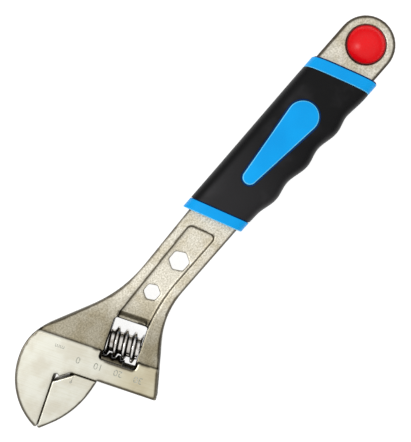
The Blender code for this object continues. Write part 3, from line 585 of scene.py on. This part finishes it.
knurl.data.materials.append(turned_steel("polished_worm", colour(214, 210, 204), 0.12,
                                         GRINDING_LEAN, 0.9))
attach(knurl, "knurl")
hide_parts("adjusting_knurl")


# ---------------------------------------------------------------- pin and spring
# The knurl turns on a hardened pin, driven in from the side of the head, with a slotted
# head. A wire spring round the pin presses the knurl against the window's wall, so that it
# stays where it is set. Both keep their CAD shape.
pin_steel = turned_steel("hardened_pin", colour(150, 150, 152), 0.25, GRINDING_LEAN)
for node in ("knurl_pin", "knurl_spring"):
    for slot in frame["nodes"][node].material_slots:
        slot.material = pin_steel


# ---------------------------------------------------------------- grip core
# The hard inner shot of the grip, in blue: a sleeve round the tang, a collar at each end with
# leaning faces, and a teardrop on both sides that stands through the soft cover.
EYE_X = 114.0
eye_low, eye_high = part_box("eye_plug_front")
EYE = (eye_low + eye_high) / 2
HANDLE = Vector((EYE.x - EYE_X * MM, EYE.y, THROAT.z))
LEAN = 0.312
COLLARS = (("front_collar", 2.4, 8.2), ("rear_collar", 91.2, 97.5))
# Dark blue rings at the ends of the cover and round the tang, as painted shade.
SHADE_SEAMS = (("front_seam_shade", 7.6, 9.2), ("rear_seam_shade", 90.2, 91.8), ("tang_seam_shade", 97.0, 98.0))
SEAM_DEPTH = 0.7
EDGE_FACE = 14.0
GRIP_FRONT = 2.4
GRIP_REAR = 97.5
GRIP_MIDDLE = (49.5, 0.35)
BACK_REACH = 15.1
BACK_GAIN = 0.6
BELLY_REACH = 14.0
BELLY_GAIN = 1.7
BELLY_PACE = 1.7
HEEL_GAIN = 1.1
HEEL_START = 18.0
HEEL_RUN = 14.0
END_TAPER = 20.0
GRIP_HALF = 10.0
FINGER_CRESTS = (28.5, 50.0, 71.5)
FINGER_PITCH = 21.5
FINGER_SWELL = 1.8
SECTION_SIDES = 112
SECTION_POWER = 3.4
SLEEVE = (78.0, 23.9, 14.8)
TEARDROP_ENDS = ((66.9, 7.7), (28.8, 3.5))
BADGE_FLOOR = 7.4
BADGE_TOP = 11.2
GROOVE_TOP = 10.3
GROOVE_WIDTH = 0.85


def on_handle(along, across, height=0.0):
    """A place on the handle, in mm: along it, towards its back, and up."""
    return HANDLE + Vector((along, across, height)) * MM


def ease(share):
    """0 up to a share of 0, 1 from a share of 1, and a smooth step between them."""
    share = max(0.0, min(1.0, share))
    return share * share * (3 - 2 * share)


def finger_swell(along):
    """Swellings of the belly between the fingers."""
    for crest in FINGER_CRESTS:
        away = (along - crest) / FINGER_PITCH
        if abs(away) < 0.5:
            return FINGER_SWELL * math.cos(math.pi * away) ** 2
    return 0.0


def grip_size(along):
    """Reach of the grip to the back, to the belly, and half its thickness."""
    share = (along - GRIP_FRONT) / (GRIP_REAR - GRIP_FRONT)
    back = BACK_REACH + BACK_GAIN * ease(share)
    belly = BELLY_REACH + BELLY_GAIN * ease(share * BELLY_PACE)
    belly += HEEL_GAIN * ease((along - GRIP_REAR + HEEL_START) / HEEL_RUN) + finger_swell(along)
    middle = ease((along - GRIP_FRONT) / END_TAPER) * ease((GRIP_REAR - along) / END_TAPER)
    return back, belly, GRIP_HALF + middle


def grip_length(name, start, end, step, shrink=0.0):
    """A length of the grip between two leaning planes, its sections drawn one by one."""
    cuts = max(1, round((end - start) / step)) - 1
    bpy.ops.object.select_all(action="DESELECT")
    bpy.ops.mesh.primitive_cylinder_add(vertices=SECTION_SIDES, radius=1, depth=1)
    piece = bpy.context.object
    piece.name = name
    if cuts:
        bpy.ops.object.mode_set(mode="EDIT")
        bpy.ops.mesh.select_mode(type="EDGE")
        bpy.ops.mesh.select_all(action="DESELECT")
        bpy.ops.object.mode_set(mode="OBJECT")
        for edge in piece.data.edges:
            low, high = (piece.data.vertices[index].co.z for index in edge.vertices)
            edge.select = low != high
        bpy.ops.object.mode_set(mode="EDIT")
        bpy.ops.mesh.subdivide(number_cuts=cuts)
        bpy.ops.object.mode_set(mode="OBJECT")
    power = 2 / SECTION_POWER
    for vertex in piece.data.vertices:
        place = start + (end - start) * (vertex.co.z + 0.5)
        across = math.copysign(abs(vertex.co.x) ** power, vertex.co.x)
        height = math.copysign(abs(vertex.co.y) ** power, vertex.co.y)
        back, belly, half = grip_size(place - LEAN * across * BELLY_REACH)
        y = across * ((back if across > 0 else belly) - shrink)
        vertex.co = on_handle(place - LEAN * y, y, height * (half - shrink))
    edit(piece)
    bpy.ops.mesh.normals_make_consistent(inside=False)
    bpy.ops.object.mode_set(mode="OBJECT")
    return piece


def teardrop(name, grow, low, high):
    """A teardrop-shaped block: the hull round a large and a small round bar."""
    bpy.ops.object.select_all(action="DESELECT")
    for along, radius in TEARDROP_ENDS:
        bpy.ops.mesh.primitive_cylinder_add(
            vertices=96, radius=(radius + grow) * MM, depth=(high - low) * MM,
            location=on_handle(along, 0.0, (low + high) / 2))
        piece = bpy.context.object
        if bpy.context.mode == "OBJECT":
            apply_place(piece)
            bpy.ops.object.mode_set(mode="EDIT")
    bpy.ops.mesh.select_all(action="SELECT")
    bpy.ops.mesh.convex_hull()
    bpy.ops.mesh.select_all(action="SELECT")
    bpy.ops.mesh.dissolve_limited(angle_limit=math.radians(0.5))
    bpy.ops.object.mode_set(mode="OBJECT")
    piece.name = name
    return piece


def grip_block(name, length, width, height):
    """A plain block round the middle of the grip, its sizes in mm."""
    bpy.ops.object.select_all(action="DESELECT")
    bpy.ops.mesh.primitive_cube_add(size=1, location=on_handle(*GRIP_MIDDLE))
    piece = bpy.context.object
    piece.name = name
    piece.scale = (length * MM, width * MM, height * MM)
    apply_place(piece)
    return piece


def moulded(name, shade, deep, shine, grain, distance, **fixed):
    """A moulded plastic or rubber with faint flow marks and a fine grain."""
    made, tone, place = new_material(name, **fixed)
    flow = tone.noise(place, 45.0, 2.0)
    fine = tone.noise(place, grain, 3.0, 0.6)
    feed(made, Base_Color=flow.rise(0.35, 0.7).between(shade, deep),
         Roughness=fine * 0.12 + shine, Normal=tone.bump(fine, distance * MM, 0.5))
    return made


# Lit and shaded copies of the blue: a lighter one for painted highlights, a dark one for painted
# shade.
highlight_blue = moulded("blue_painted_highlight", colour(120, 214, 255), colour(100, 204, 250), 0.3, 1500.0,
                      0.02, Specular_IOR_Level=0.12)
blue = moulded("blue_moulding", colour(3, 164, 240), colour(2, 154, 230), 0.34, 1500.0, 0.02,
               Specular_IOR_Level=0.12)
shade_blue = moulded("blue_groove", colour(6, 52, 104), colour(4, 40, 86), 0.5, 1500.0, 0.02,
                    Specular_IOR_Level=0.1)
core = []
for name, start, end in COLLARS:
    collar = grip_length(name, start, end, 1.0)
    break_edges(collar, 0.55, 4)
    core.append(collar)
sleeve = grip_block("grip_sleeve", *SLEEVE)
break_edges(sleeve, 2.5, 4)
core.append(sleeve)
for side, name in ((1, "badge_front"), (-1, "badge_back")):
    badge = teardrop(name, 0.0, *sorted((side * BADGE_FLOOR, side * BADGE_TOP)))
    break_edges(badge, 0.8, 4)
    core.append(badge)
    # A dark blue filler in the gap round each badge, as painted shade.
    core.append(teardrop(name.replace("badge", "badge_groove_shade"), GROOVE_WIDTH,
                         *sorted((side * BADGE_FLOOR, side * GROOVE_TOP))))
for name, start, end in SHADE_SEAMS:
    core.append(grip_length(name, start, end, 0.5, SEAM_DEPTH))
for piece in core:
    pick(piece)
    bpy.ops.object.shade_smooth_by_angle(angle=math.radians(40))
    shade_filler = "groove" in piece.name or "seam" in piece.name
    piece.data.materials.append(shade_blue if shade_filler else blue)
    piece.data.materials.append(highlight_blue)
    piece.data.materials.append(shade_blue)
    # Painted light: the badges' bevels take a lighter blue as a painted highlight, the collars'
    # bevels a lighter blue facing -X and a dark blue facing +X.
    for face in piece.data.polygons:
        small = face.area < EDGE_FACE * MM ** 2 and not shade_filler
        if small and "badge" in piece.name and 0.2 < abs(face.normal.z) < 0.94:
            face.material_index = 1
        if small and "collar" in piece.name and 0.25 < abs(face.normal.x) < 0.93:
            face.material_index = 1 if face.normal.x < 0 else 2
    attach(piece, "root")
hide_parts("grip_core")


# ---------------------------------------------------------------- grip cover
# The soft outer shot, in black: it lies between the collars, with three swellings on its
# belly between the fingers and a window on each side for the teardrop.
COVER_START = 8.5
COVER_END = 90.9
COVER_HOLLOW = (130.0, 24.5, 15.4)
WINDOW_REACH = (8.0, 13.0)
WINDOW_GAP = 0.9
cover = grip_length("soft_cover", COVER_START, COVER_END, 1.2)
for side in (1, -1):
    carve(cover, teardrop("window", WINDOW_GAP, *sorted(side * reach for reach in WINDOW_REACH)))
carve(cover, grip_block("hollow", *COVER_HOLLOW))
break_edges(cover, 0.45, 3)
pick(cover)
bpy.ops.object.shade_smooth_by_angle(angle=math.radians(40))
rubber, tone, place = new_material("black_rubber", Specular_IOR_Level=0.16)
across = tone.along(place, Vector((0.0, 1.0, 0.0)), HANDLE)
along = tone.along(place, Vector((1.0, 0.0, 0.0)), HANDLE)
fine_grain = tone.noise(place, 2200.0, 3.0, 0.6)
worn_patch = tone.noise(place, 70.0, 3.0, 0.55)
# The back edge stays darkest as painted shade, the front lighter as a painted sheen, and random
# patches lighter as wear.
wear_and_painted_sheen = across.rise(12.2, 9.6) * (along.rise(60.0, 14.0) * 0.6
                                   + worn_patch.rise(0.45, 0.75) * 0.5)
feed(rubber, Base_Color=wear_and_painted_sheen.between(colour(5, 5, 6), colour(44, 43, 45)),
     Roughness=fine_grain * 0.14 + 0.34 + worn_patch * 0.08,
     Normal=tone.bump(fine_grain, 0.05 * MM, 0.6))
cover.data.materials.append(rubber)
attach(cover, "root")
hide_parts("grip_cover")


# ---------------------------------------------------------------- eye plug
# A red plug fills the hanging eye: two glossy domed halves with a thin rim, one from each
# side, that snap into each other by a boss and a socket.
DOME_RADIUS = 8.9
DOME_RISE = 4.1
DOME_FOOT = 3.45
DOME_STEPS = 14
EYE_CENTRE = on_handle(EYE_X, 0.0)
RIM_INSIDE = 8.75


def turn_on_eye(name, profile):
    """Spin a profile of (radius, height) steps round the axis of the eye."""
    points = [EYE_CENTRE + Vector((radius, 0.0, height)) * MM for radius, height in profile]
    piece = draw_line(name, points)
    edit(piece)
    bpy.ops.mesh.spin(steps=96, angle=2 * math.pi, center=EYE_CENTRE, axis=(0, 0, 1))
    bpy.ops.mesh.select_all(action="SELECT")
    bpy.ops.mesh.remove_doubles(threshold=0.003 * MM)
    bpy.ops.mesh.normals_make_consistent(inside=False)
    bpy.ops.object.mode_set(mode="OBJECT")
    bpy.ops.object.shade_smooth_by_angle(angle=math.radians(32))
    return piece


dome = [(9.0, 3.05), (9.3, 3.1), (9.42, 3.2), (9.45, 3.4), (9.38, 3.55), (9.2, 3.6),
        (9.05, 3.5), (DOME_RADIUS, DOME_FOOT)]
dome_sphere = (DOME_RADIUS ** 2 + DOME_RISE ** 2) / (2 * DOME_RISE)
dome_edge = math.asin(DOME_RADIUS / dome_sphere)
for step in range(1, DOME_STEPS + 1):
    angle = dome_edge * (1 - step / DOME_STEPS)
    dome.append((dome_sphere * math.sin(angle),
                 DOME_FOOT + DOME_RISE - dome_sphere * (1 - math.cos(angle))))
front_profile = [(0.0, -2.2), (4.0, -2.2), (4.0, 0.15), (8.55, 0.15), (8.55, 1.8),
                 (9.15, 2.4)] + dome
back_profile = [(0.0, -2.5), (4.3, -2.5), (4.3, -0.15), (8.55, -0.15), (8.55, -1.8),
                (9.15, -2.4)] + [(radius, -height) for radius, height in dome]
red_gloss = moulded("red_gloss", colour(240, 6, 18), colour(222, 3, 13), 0.2, 900.0, 0.004,
                    Specular_IOR_Level=0.26)
red_rim_shade = moulded("red_rim_shade", colour(150, 4, 14), colour(120, 2, 10), 0.3, 900.0, 0.004,
                  Specular_IOR_Level=0.3)
for name, node, profile in (("plug_front", "eye_plug_front", front_profile),
                            ("plug_back", "eye_plug_back", back_profile)):
    plug = turn_on_eye(name, profile)
    plug.data.materials.append(red_gloss)
    plug.data.materials.append(red_rim_shade)
    # Painted shade: the rim and the steep edge of each dome take a darker red.
    for face in plug.data.polygons:
        if (face.center - EYE_CENTRE).to_2d().length > RIM_INSIDE * MM:
            face.material_index = 1
    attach(plug, "root")
    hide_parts(node)


# ---------------------------------------------------------------- studio
# A pale table, a soft white surround that falls off towards the horizon, one large overhead
# light and one from the side. The camera looks straight down on the wrench.
IMAGE_UP = Vector((0.7524, 0.6587, 0.0))
IMAGE_RIGHT = Vector((0.6587, -0.7524, 0.0))
CAMERA_AIM = (-0.44, 2.235)
CAMERA_HEIGHT = 0.48
CAMERA_LENS = 81.0
TABLE_SIZE = 20
TABLE_DROP = 0.2
LAMPS = (("key", (-0.18, 0.27, 0.50), 0.2, 0.75), ("side", (-0.45, 0.55, 0.45), 0.5, 0.4))
bpy.ops.object.select_all(action="DESELECT")
bpy.ops.mesh.primitive_plane_add(size=TABLE_SIZE, location=(0, 0, -TABLE_DROP * MM))
table = bpy.context.object
table.name = "table"
table_finish, tone, place = new_material("table_top", Roughness=0.9, Emission_Strength=0.85,
                                         Specular_IOR_Level=0.1)
paper = tone.noise(place, 60.0, 2.0).between(colour(160, 160, 160), colour(164, 164, 164))
feed(table_finish, Base_Color=paper, Emission_Color=paper.between(
    (1.0, 1.0, 1.0, 1.0), (0.98, 0.98, 0.98, 1.0)))
table.data.materials.append(table_finish)

world = bpy.data.worlds.new("surround")
bpy.context.scene.world = world
world.use_nodes = True
tone = Tone(world.node_tree)
direction = tone.node("TexCoord", None, None, 0)
rise = tone.node("SeparateXYZ", None, {0: direction}, 2)
sky = rise.rise(0.08, 0.7).between((0.14, 0.14, 0.15, 1.0), (1.0, 1.0, 1.0, 1.0))
background = world.node_tree.nodes["Background"]
world.node_tree.links.new(sky.socket, background.inputs["Color"])
background.inputs["Strength"].default_value = 1.0

for name, place, size, power in LAMPS:
    light = bpy.data.lights.new(name, "AREA")
    light.energy = power
    light.size = size
    lamp = bpy.data.objects.new(name, light)
    lamp.location = place
    lamp.rotation_euler = (-Vector(place)).to_track_quat("-Z", "Y").to_euler()
    bpy.context.scene.collection.objects.link(lamp)

camera_data = bpy.data.cameras.new("camera")
camera_data.lens = CAMERA_LENS
camera = bpy.data.objects.new("camera", camera_data)
aim = on_handle(*CAMERA_AIM)
camera.matrix_world = Matrix.Translation(aim + UP * CAMERA_HEIGHT) @ Matrix((
    (IMAGE_RIGHT.x, IMAGE_UP.x, 0, 0), (IMAGE_RIGHT.y, IMAGE_UP.y, 0, 0),
    (0, 0, 1, 0), (0, 0, 0, 1)))
bpy.context.scene.collection.objects.link(camera)
bpy.context.scene.camera = camera
bpy.context.scene.view_settings.view_transform = "Standard"
